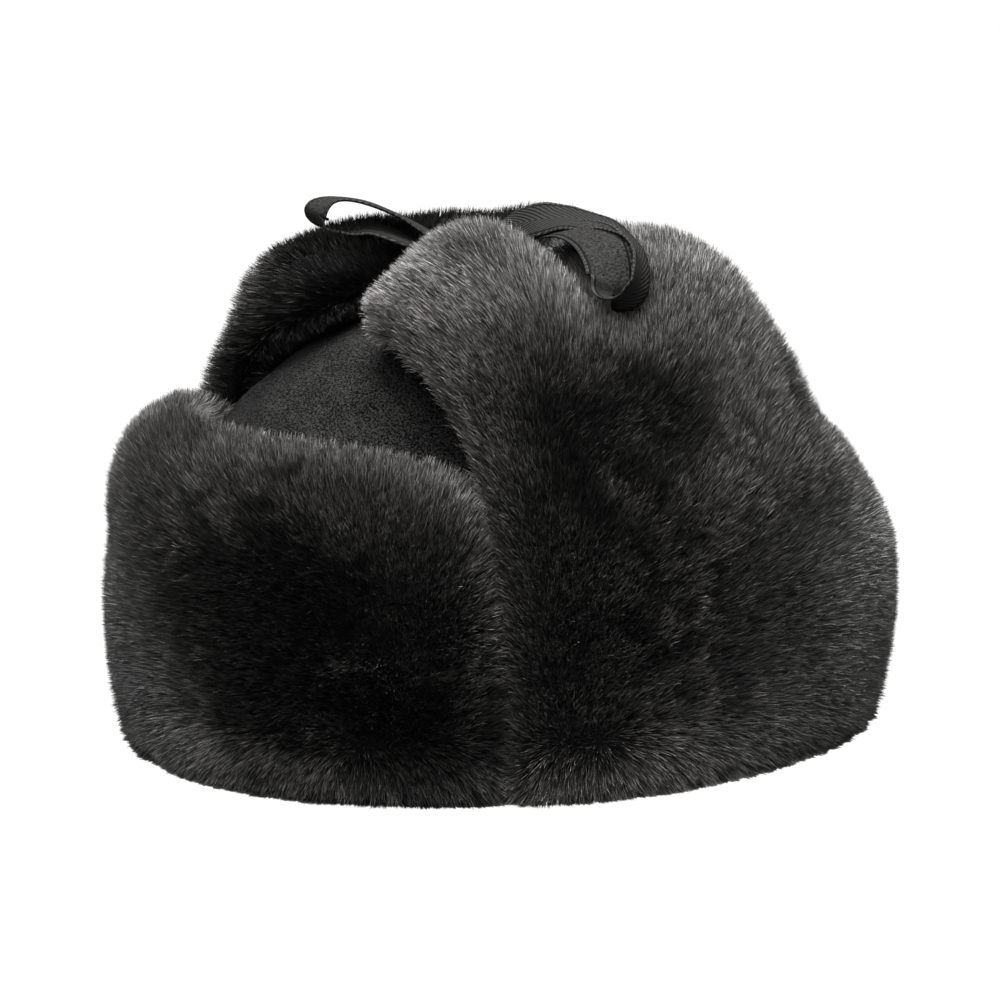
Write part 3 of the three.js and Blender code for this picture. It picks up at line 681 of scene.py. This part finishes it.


# Spots where the pile stands more upright or lies flatter, with painted shade or painted light in the hairs'
# tone: share, millimetres up, their half widths, degrees added to the lift, how much painted shade darkens
# them or, below 0, painted light lightens them
frontSpots = [
    (0.7, 54, 0.15, 36, 22, 1.05), (0.88, 46, 0.1, 40, 10, 0.3), (0.93, 16, 0.12, 16, 0, 0.6),
    (0.6, 22, 0.5, 22, 0, 0.45), (0.42, 62, 0.15, 60, 0, 0.8), (0.5, 2, 1, 7, 0, -0.05),
]
leftSpots = [
    (0.13, 99, 0.07, 18, 20, 0.65), (0.22, 102, 0.1, 17, 24, 0.68), (0.3, 107, 0.07, 15, 20, 0.7),
    (0.54, 107, 0.05, 16, 22, 0.85), (0.12, 72, 0.15, 26, 10, 0.25), (0.52, 46, 0.34, 50, 6, 0.75),
    (0.12, 34, 0.2, 18, 0, 0.2), (0.26, 142, 0.22, 18, -8, -0.9), (0.0, 150, 0.06, 44, 0, -0.9),
    (0.3, 176, 0.07, 14, 0, 0.95), (0.16, 166, 0.2, 12, 0, 0.25), (0.1, 2, 0.3, 7, 0, -0.3),
]
rightSpots = [(0.08, 120, 0.4, 60, 0, 0.45), (0.14, 178, 0.3, 26, 0, 0.75), (0.6, 60, 0.35, 60, 0, 0.5)]


# Which way the fur lies: degrees from "towards the back" up to "towards the free edge",
# by share along the flap (across) and millimetres up from the hem (down)
frontLay = {
    "share": [0, 0.12, 0.25, 0.5, 0.75, 0.9, 1],
    "up": [0, 10, 26, 50, 80, 110],
    "angle": [
        [250, 245, 238, 250, 268, 280, 290], [235, 215, 205, 225, 262, 300, 340],
        [140, 165, 168, 165, 110, 62, 45], [125, 145, 150, 140, 100, 68, 50],
        [112, 125, 125, 112, 96, 80, 66], [98, 96, 96, 90, 88, 84, 78],
    ],
}
earLay = {
    "share": [0, 0.08, 0.2, 0.35, 0.55, 0.75, 1],
    "up": [0, 10, 26, 50, 80, 110, 150, 190],
    "angle": [
        [250, 258, 275, 300, 318, 325, 310], [210, 240, 300, 335, 345, 350, 345],
        [128, 100, 52, 22, 12, 10, 8], [125, 110, 78, 48, 32, 26, 24],
        [132, 112, 90, 70, 52, 42, 40], [142, 122, 98, 84, 68, 58, 50],
        [146, 125, 98, 90, 84, 78, 70], [135, 118, 95, 90, 88, 84, 78],
    ],
}


def layAt(table, share, up):
    angle = np.radians(np.array(table["angle"], float))
    s = np.interp(share, table["share"], np.arange(len(table["share"])))
    u = np.interp(up, table["up"], np.arange(len(table["up"])))
    i, j = np.minimum(s.astype(int), len(table["share"]) - 2), np.minimum(u.astype(int), len(table["up"]) - 2)
    f, g = ease(0, 1, s - i), ease(0, 1, u - j)

    def read(field):
        low = field[j, i] * (1 - f) + field[j, i + 1] * f
        high = field[j + 1, i] * (1 - f) + field[j + 1, i + 1] * f
        return low * (1 - g) + high * g

    return read(np.cos(angle)), read(np.sin(angle))


# The pile's lift in degrees, with the waves that vary it and that fray the spots: their height,
# size and seed. The leans mix the normal, the way up the flap and the flap's own direction.
furLie = {
    "lift": 50, "liftMost": 86, "liftWaves": [(5, 46, 21), (3, 19, 22)], "shadeRange": (-1.2, 1),
    "frayWaves": [(0.09, 16, 23), (0.09, 7, 24)], "normalSmoothing": 2, "smoothing": 6,
    "topAlong": 0.2, "innerNormal": 0.7, "innerDown": 0.5, "hemUp": 0.95, "hemNormal": 0.1,
    "endNormal": 0.15, "endDroop": 1.9, "endDroopHeight": 9,
}


def wavesOver(points, start, waves):
    total = start
    for height, size, seed in waves:
        total = total + height * waveField(points, size, seed)
    return total


# Direction of the fur over a grid, blurred so that it turns smoothly over the edges
def furDirections(grid, flap):
    p, up, zone = grid["points"], grid["up"], grid["zone"][..., None]
    nextRow, lastRow = np.minimum(np.arange(len(p)) + 1, len(p) - 1), np.maximum(np.arange(len(p)) - 1, 0)

    def blurred(field, own):
        total = field * own + np.roll(field, 1, 1) + np.roll(field, -1, 1)
        return unit(total + field[nextRow] + field[lastRow])

    alongFlap = unit(p[nextRow] - p[lastRow])
    upFlap = unit(np.roll(p, -1, 1) - np.roll(p, 1, 1))
    normal = unit(np.cross(alongFlap, upFlap)) * flap["sign"]
    for _ in range(furLie["normalSmoothing"]):
        normal = blurred(normal, 1)
    east, north = layAt(flap["lay"], grid["share"], up)
    flat = unit(alongFlap * east[..., None] + upFlap * north[..., None])
    patchLift = wavesOver(p, furLie["lift"], furLie["liftWaves"])
    frayed = wavesOver(p, 0, furLie["frayWaves"])
    paintedShade = np.zeros(up.shape)
    for share, height, halfShare, halfUp, more, darker in flap["spots"]:
        near = np.exp(-(((grid["share"] - share) / halfShare) ** 2) - ((up - height) / halfUp) ** 2)
        patchLift = patchLift + more * near
        # Painted shade for the hairs' tone, or painted light where a spot's value is below 0
        paintedShade = paintedShade + darker * ease(*flap["border"], near + frayed)
    patchLift = np.minimum(patchLift, furLie["liftMost"])
    paintedShade = np.clip(paintedShade, *furLie["shadeRange"])[..., None]
    liftAngle = np.radians(patchLift)[..., None]
    heading = flat * np.cos(liftAngle) + normal * np.sin(liftAngle)
    away = unit(p * [1 / crownAcross, 1 / crownAlong, 0])
    lean = flap["topLean"]
    atTop = normal * lean[0] + away * lean[1] + np.array([0, 0, lean[2]]) + flat * furLie["topAlong"]
    heading = np.where(zone == zones["top"], atTop, heading)
    atInner = normal * furLie["innerNormal"] - upFlap * furLie["innerDown"]
    heading = np.where(zone == zones["inner"], atInner, heading)
    atHem = upFlap * furLie["hemUp"] + normal * furLie["hemNormal"]
    heading = np.where(zone == zones["hem"], atHem, heading)
    half, capRows = len(p) // 2, pile["capRows"]
    leanStart = unit(-alongFlap[capRows:capRows + 3].mean((0, 1)))
    leanEnd = unit(alongFlap[-capRows - 3:-capRows].mean((0, 1)))
    capLean = np.concatenate([np.tile(leanStart, (half, 1, 1)), np.tile(leanEnd, (len(p) - half, 1, 1))])
    lean = flap["edgeLean"]
    droop = 1 - furLie["endDroop"] * np.exp(-up[..., None] / furLie["endDroopHeight"])
    upright = np.array([0, 0, lean[2]]) * droop
    atEnd = normal * furLie["endNormal"] + capLean * lean[0] + away * lean[1] + upright
    heading = unit(np.where(zone == zones["end"], atEnd, heading))
    for _ in range(furLie["smoothing"]):
        heading = blurred(heading, 2)
    return {"heading": heading, "normal": normal, "along": alongFlap, "up": upFlap, "paintedShade": paintedShade}


furCut = {
    "length": 9.6, "longest": 1.1, "shorter": 0.3, "shorterBend": 1.5, "width": 0.18, "widest": 0.8,
    "tuft": 2.4, "tuftShortest": 0.95, "tuftLonger": 0.1, "tuftPull": 0.25, "tuftLean": 0.1,
    "swayTurns": (91.7, 57.3), "spread": 0.12, "roll": 1.2,
    "toneBeta": (0.5, 1.9), "toneGain": 1.1, "tuftTone": 0.08, "paintedShade": 0.82,
}
# Less fur grows on the hem and inside the flaps, apart from their top edge and free ends
furCover = {
    "insideTop": 22, "endReach": 0.24, "bareEndReach": 0.12, "barest": 0.6, "bareInside": 0.7,
    "hemPart": 0.6, "hem": 0.5, "endRows": 10,
}


# Chance of a hair in each cell of a flap's grid, summed
def furChance(grid, flap):
    p, share = grid["points"], grid["share"][:-1]
    zone, up = grid["zone"][:-1], grid["up"][:-1]
    q = np.roll(p, -1, 1)
    area = np.linalg.norm(np.cross(p[1:] - p[:-1], q[:-1] - p[:-1]), axis=-1)
    columns = np.arange(p.shape[1])[None]
    bare, topEdge = flap["bare"], grid["up"].max(1)[:-1, None]
    reach = mix(furCover["endReach"], furCover["bareEndReach"], bare / furCover["barest"])
    nearEnd = (share < reach) | (share > 1 - furCover["bareEndReach"] * grid["freeEnd"])
    inside = np.where((up > topEdge - furCover["insideTop"]) | nearEnd, 1 - furCover["bareInside"] * bare, 0)
    onHem = np.where(columns > p.shape[1] - pile["lowRows"] * furCover["hemPart"], furCover["hem"], 0)
    weight = np.where(zone == zones["inner"], inside, 1.0)
    weight = np.where(zone == zones["hem"], onHem, weight)
    endInside = columns > pile["outerRows"] + pile["topRows"] + furCover["endRows"]
    weight = np.where((zone == zones["end"]) & endInside, 1 - bare, weight)
    return np.cumsum((area * weight).ravel())


# Repeatable fractions from whole numbers
def scatter(cell):
    turns = np.array([[12.9898, 39.346, 73.156], [78.233, 11.135, 52.235], [37.719, 83.155, 9.151]])
    return np.abs(np.sin(cell @ turns) * 43758.5453) % 1


# Nearest tuft centre, from a jittered lattice through space, and a number that is the tuft's own
def nearestTuft(root, size):
    count, base = len(root), np.floor(root / size)
    best, centre, tuft = np.full(count, 1e9), np.zeros((count, 3)), np.zeros(count)
    for step in np.ndindex(3, 3, 3):
        cell = base + np.array(step) - 1
        mixed = scatter(cell)
        middle = (cell + mixed) * size
        gap = ((middle - root) ** 2).sum(1)
        near = gap < best
        best = np.where(near, gap, best)
        centre = np.where(near[:, None], middle, centre)
        tuft = np.where(near, mixed[:, 0], tuft)
    return centre, tuft


def plantFur(name, flap, count, seed):
    rng = np.random.default_rng(seed)
    grid = flap["grid"]
    fields = furDirections(grid, flap)
    nv = grid["points"].shape[1]
    chance = furChance(grid, flap)
    cell = np.searchsorted(chance, rng.uniform(0, chance[-1], count))
    i, j = cell // nv, cell % nv
    k = (j + 1) % nv
    a, b = rng.uniform(0, 1, (2, count, 1))

    def read(field):
        low = field[i, j] * (1 - a) + field[i + 1, j] * a
        return low * (1 - b) + (field[i, k] * (1 - a) + field[i + 1, k] * a) * b

    root, paintedShade = read(grid["points"]), read(fields["paintedShade"])[:, 0]
    out, ahead, above, lie = (unit(read(fields[key])) for key in ("normal", "along", "up", "heading"))
    centre, tuft = nearestTuft(root, furCut["tuft"])
    pull = centre - root
    pull = pull - out * (pull * out).sum(1, keepdims=True)
    turnAhead, turnUp = furCut["swayTurns"]
    sway = np.stack([np.sin(tuft * turnAhead), np.cos(tuft * turnUp)], -1) * furCut["tuftLean"]
    loose = rng.normal(0, furCut["spread"], (count, 3))
    shorter = furCut["shorter"] * rng.uniform(0, 1, (count, 1)) ** furCut["shorterBend"]
    length = furCut["length"] * (furCut["longest"] - shorter)
    length = length * (furCut["tuftShortest"] + furCut["tuftLonger"] * tuft[:, None])
    way = unit(lie + ahead * sway[:, :1] + above * sway[:, 1:] + pull / length * furCut["tuftPull"] + loose)
    roll = rng.uniform(-furCut["roll"], furCut["roll"], (count, 1))
    sideways = unit(np.cross(way, out))
    wide = (sideways * np.cos(roll) + unit(np.cross(way, sideways)) * np.sin(roll)) * furCut["width"]
    tone = rng.beta(*furCut["toneBeta"], count) * furCut["toneGain"] + tuft * furCut["tuftTone"]
    # Painted shade darkens the tone in the spots, and painted light lightens it where the spots are below 0
    tone = np.clip(tone * (1 - furCut["paintedShade"] * paintedShade), 0, 1)
    tip = root + way * length
    hairMesh(name, root, tip, wide, furCut["widest"], tone, tuft, furMaterial, [flap["node"]])


furShare = 1.0
frontGrid = flapGrid(frontSection, frontFlap["sections"], frontFlap["endInset"], frontFlap["endInset"], True)
leftGrid = earGrid(flapSides["left"])
rightGrid = mirrored(earGrid(flapSides["right"]))
# A lean is towards the normal or the free end, away from the hat, and up. The border is how near
# a spot its shade starts and is full, and bare is how little fur grows inside.
flaps = [
    {
        "node": "front_flap", "grid": frontGrid, "lay": frontLay, "spots": frontSpots,
        "border": (0.22, 0.62), "edgeLean": (0.75, 0, 0.55), "topLean": (0.95, 0, 0),
        "bare": 0.6, "sign": 1, "hairs": 125000,
    },
    {
        "node": "ear_flap_left", "grid": leftGrid, "lay": earLay, "spots": leftSpots,
        "border": (0.32, 0.52), "edgeLean": (0.5, 0, 0.75), "topLean": (0.95, 0, 0),
        "bare": 0.3, "sign": 1, "hairs": 165000,
    },
    {
        "node": "ear_flap_right", "grid": rightGrid, "lay": earLay, "spots": rightSpots,
        "border": (0.22, 0.62), "edgeLean": (0.15, 0.8, 0.4), "topLean": (0.35, 0.4, 0.6),
        "bare": 0.0, "sign": -1, "hairs": 105000,
    },
]
firstFurSeed = 40
for number, flap in enumerate(flaps):
    flapBody(flap["node"] + "_body", flap["grid"], flap["node"], flap["sign"] < 0)
    for layer, word in enumerate(("under", "over")):
        seed = firstFurSeed + number * 2 + layer
        plantFur(flap["node"] + "_fur_" + word, flap, int(flap["hairs"] * furShare), seed)
    print(flap["node"], "made")

# Tapes: centre lines seen along the bow, right of the knot, out from it and up from the crown's top,
# which way the width points in the same directions, and the width there
tape = {
    "width": 16, "thickness": 1.0, "step": 0.35, "across": 12, "readings": 40, "knotAlong": -8,
    "bowAngle": 55, "bead": 1.15, "beadHeight": 0.22, "edgeFrom": 0.99, "edgeThickness": 0.55,
    "cup": -0.24, "ripple": 0.12, "rippleLength": 9, "rippleSlant": 2.1,
}
loopColumns = ["right", "out", "up", "wideRight", "wideOut", "wideUp", "width"]
leftLoop = [
    (-3.4, 0, 14.4, 0, 1, 0, 6.2), (-8, 0, 14.8, 0, 1, 0, 7), (-16, 3, 19, 0.1, 1, -0.1, 12),
    (-26, 3, 25, 0.05, 1, 0.1, 16), (-38, 2, 29.6, 0, 1, 0.12, 16), (-47, 1, 30, 0.2, 1, 0.08, 16),
    (-53, 1, 26, 0.6, 1, -0.1, 16), (-50.6, 1, 21.6, 0.4, 1, 0, 16), (-43, 2, 20.8, 0.1, 1, 0, 16),
    (-34, 5, 21.6, 0.1, 1, -0.15, 16), (-25, 9, 18.6, 0.2, 1, -0.25, 12), (-16, 6, 14.2, 0, 1, -0.1, 8.5),
    (-8, 0, 13, 0, 1, 0, 6.4), (6.4, 0, 12.8, 0, 1, 0, 6.4), (16, -7, 7.3, 0.5, 0.8, 0, 9),
    (28, -17, 1.6, 0.57, 0.82, 0, 16), (40, -25, -1.7, 0.57, 0.82, 0, 16),
]
rightLoop = [
    (1, 0, 19.3, 0.1, 0.9, 0, 6), (7.5, 2.5, 21.6, 0.29, 0.93, -0.24, 9), (14, 7, 23.8, 0.4, 0.82, -0.4, 12),
    (21, 12, 25.4, 0.25, 0.9, -0.36, 16), (28, 15, 26.2, 0.1, 0.95, -0.29, 16),
    (36, 19, 25.2, 0.12, 0.96, -0.2, 16), (43, 26, 23.7, 0, 1, 0, 16),
    (48.5, 34, 20.8, -0.12, 0.98, 0.14, 16), (51, 42, 16.6, -0.2, 0.96, 0.21, 16),
    (50.6, 49, 12.2, -0.34, 0.91, 0.24, 16), (48, 54, 8.6, -0.38, 0.84, 0.38, 16),
    (43.4, 56.6, 7, -0.35, 0.82, 0.42, 16),
    (40.4, 56, 8.6, -0.56, 0.76, 0.1, 16), (41.2, 52.3, 12.8, -0.74, 0.6, -0.25, 16),
    (40, 45, 19.4, -0.78, 0.5, -0.38, 16), (36.4, 34, 23.5, -0.72, 0.6, -0.36, 16),
    (29, 21, 23.8, -0.54, 0.8, -0.26, 13.5), (19, 10, 20.4, -0.24, 0.96, -0.1, 10.5),
    (9, 3, 17.8, 0, 1, 0, 7), (2, 0, 16.2, 0, 1, 0, 6),
]
leftLead = [
    (-7, 0, 13, 0, 1, 0, 6.4), (-10, 1.5, 12.8, 0.3, 1, 0, 7), (-14, 8, 10.4, 0.9, 0.2, 0, 9),
    (-13.8, 19.5, 7.9, 0.82, -0.57, 0, 16),
]
rightLead = [
    (-1, -4.6, 11.6, 1, 0, 0, 7), (-1.6, -6.6, 9.6, 0.9, -0.3, 0, 8), (-2.8, -9, 8.2, 0.82, -0.57, 0, 9),
]
rightTail = [
    (2, -5.6, 14.6, 0, 0.3, 1, 5), (9, -8.6, 14, 0.4, 0.9, 0.3, 6), (20, -16, 9.6, 0.57, 0.82, 0, 10),
    (31, -24, 5, 0.57, 0.82, 0, 16),
]
bowTurn = math.radians(tape["bowAngle"])
bowRight = np.array([math.cos(bowTurn), math.sin(bowTurn), 0])
bowOut = np.array([math.sin(bowTurn), -math.cos(bowTurn), 0])


def bowPlace(right, out, up):
    flat = np.multiply.outer(right, bowRight) + np.multiply.outer(out, bowOut)
    raised = np.multiply.outer(up + crownHeight + 0 * right, np.array([0, 0, 1]))
    return np.array([0, tape["knotAlong"], 0]) + flat + raised


# A strip's faces closed into one ring of columns, its front first
def bothFaces(face):
    return np.concatenate([face(1), face(-1)[:, ::-1]], 1)


# A tape along its rows, with softly beaded edges and a slight cup and ripple
def tapeStrip(rows):
    table = dict(zip(loopColumns, np.array(rows, float).T), step=np.arange(len(rows)))
    read = lambda column, at: smoothRead(table, "step", column, at)
    rough = np.linspace(0, len(rows) - 1, len(rows) * tape["readings"])
    placeAt = lambda at: bowPlace(*(read(column, at) for column in ("right", "out", "up")))
    centre = placeAt(rough)
    run = np.concatenate([[0], np.cumsum(np.linalg.norm(np.diff(centre, axis=0), axis=1))])
    count = int(run[-1] / tape["step"])
    at = np.interp(np.linspace(0, run[-1], count), run, rough)
    centre = placeAt(at)
    forward = unit(np.gradient(centre, axis=0))
    wide = np.multiply.outer(read("wideRight", at), bowRight) + np.multiply.outer(read("wideOut", at), bowOut)
    wide[:, 2] += read("wideUp", at)
    wide = unit(wide - forward * (wide * forward).sum(1, keepdims=True))
    facing = np.cross(forward, wide)
    half, thick = read("width", at)[:, None] / 2, tape["thickness"] / 2
    length = np.linspace(0, run[-1], count)[:, None]
    squeeze = tape["width"] / 2 / half
    across = np.linspace(-1, 1, tape["across"])[None]
    atEdge, domed = np.abs(across) > tape["edgeFrom"], 1 - across ** 2
    bead = (np.abs(np.sin(length / tape["bead"] * math.pi)) - 1) * tape["beadHeight"]
    spread = across * half + np.where(atEdge, np.sign(across) * bead, 0)
    ripple = tape["ripple"] * np.sin(length / tape["rippleLength"] + across * tape["rippleSlant"]) * domed
    bent = tape["cup"] * (squeeze - 1) * domed + ripple

    def face(sign):
        height = sign * thick * np.where(atEdge, tape["edgeThickness"], 1) + bent
        return centre[:, None] + wide[:, None] * spread[..., None] + facing[:, None] * height[..., None]

    points = bothFaces(face)
    nv = points.shape[1]
    quads = gridQuads(count, nv, flipped=True)
    ends = [np.arange(nv)[::-1], np.arange(nv) + (count - 1) * nv]
    acrossAll = np.concatenate([across, across[:, ::-1]], 1) * half * squeeze
    reverse = np.concatenate([0 * across + 1, 0 * across], 1) + 0 * acrossAll
    along = length + 0 * acrossAll
    return points.reshape(-1, 3), quads, ends, along.ravel(), acrossAll.ravel(), reverse.ravel()


# The turn of tape that binds the knot
knot = {
    "halfWidth": 7, "halfHeight": 4.9, "halfLength": 5, "height": crownHeight + 15, "tapeRadius": 6,
    "around": 110, "across": 14, "bulge": 0.55, "ripple": 0.15, "ripples": 3,
}


def knotWrap():
    turnAt = np.linspace(0, 2 * math.pi, knot["around"], endpoint=False)[:, None]
    across = np.linspace(-1, 1, knot["across"])[None]
    bulge = knot["bulge"] * (1 - across ** 2) + knot["ripple"] * np.sin(turnAt * knot["ripples"] + across * 2)

    def face(sign):
        inward = 0 if sign > 0 else tape["thickness"]
        out = (knot["halfWidth"] - inward + bulge - knot["bulge"]) * np.cos(turnAt)
        up = knot["height"] + (knot["halfHeight"] - inward + bulge - knot["bulge"]) * np.sin(turnAt)
        side = across * knot["halfLength"] + 0 * turnAt
        placed = np.multiply.outer(side, bowRight) + np.multiply.outer(out, bowOut)
        placed = placed + np.array([0, tape["knotAlong"], 0])
        placed[..., 2] += up
        return placed

    points = bothFaces(face)
    quads = gridQuads(*points.shape[:2], closed=True)
    length = turnAt * knot["tapeRadius"] + 0 * np.concatenate([across, across], 1)
    acrossAll = np.concatenate([across, across[:, ::-1]], 1) * knot["halfLength"] + 0 * turnAt
    return points.reshape(-1, 3), quads, [], length.ravel(), acrossAll.ravel(), 0 * acrossAll.ravel()


def tapePiece(name, strips, node):
    start, quads, ends = 0, [], []
    for points, stripQuads, stripEnds, *_ in strips:
        quads.append(stripQuads + start)
        ends += [end[None] + start for end in stripEnds]
        start += len(points)
    points, length, across, reverse = (np.concatenate([strip[k] for strip in strips]) for k in (0, 3, 4, 5))
    values = {"tapeAlong": length, "tapeAcross": across, "tapeReverse": reverse}
    newPiece(name, points, [np.concatenate(quads)] + ends, tapeMaterial, [node], values=values)


tapePiece("tie_tape_left_twill", [tapeStrip(leftLoop), tapeStrip(leftLead)], "tie_tape_left")
rightStrips = [knotWrap(), tapeStrip(rightLoop), tapeStrip(rightLead), tapeStrip(rightTail)]
tapePiece("tie_tape_right_twill", rightStrips, "tie_tape_right")
print("tapes made")

# Pale floor and soft studio light, in metres
studio = {
    "floor": {"size": 30, "tone": 0.02, "glow": 1.0, "roughness": 0.9, "specular": 0.0},
    "worldStrength": 0.04,
    "lights": [
        {"name": "overhead", "at": (0.0, 0.0, 1.3), "size": 0.8, "power": 155},
        {"name": "right side", "at": (1.15, 0.75, 0.45), "size": 0.8, "power": 4},
        {"name": "left side", "at": (-0.45, -0.95, 1.1), "size": 0.9, "power": 14},
        {"name": "front", "at": (0.75, -0.7, 1.0), "size": 0.9, "power": 36},
    ],
}
bpy.ops.mesh.primitive_plane_add(size=studio["floor"]["size"], location=(0, 0, 0))
floor = bpy.context.object
floor.name = "floor"
floorMaterial, tree, shader = newMaterial("paleFloor", studio["floor"])
shader.inputs["Base Color"].default_value = (studio["floor"]["tone"],) * 3 + (1,)
shader.inputs["Emission Color"].default_value = (1, 1, 1, 1)
shader.inputs["Emission Strength"].default_value = studio["floor"]["glow"]
floor.data.materials.append(floorMaterial)

world = bpy.data.worlds.new("studio")
world.use_nodes = True
background = world.node_tree.nodes["Background"]
background.inputs["Color"].default_value = (1, 1, 1, 1)
background.inputs["Strength"].default_value = studio["worldStrength"]
bpy.context.scene.world = world

for lamp in studio["lights"]:
    data = bpy.data.lights.new(lamp["name"], "AREA")
    data.shape = "SQUARE"
    data.size = lamp["size"]
    data.energy = lamp["power"]
    holder = bpy.data.objects.new(lamp["name"], data)
    holder.location = lamp["at"]
    holder.rotation_euler = (aim - holder.location).to_track_quat("-Z", "Y").to_euler()
    bpy.context.scene.collection.objects.link(holder)
bpy.context.scene.view_settings.view_transform = "Standard"
print("studio made")
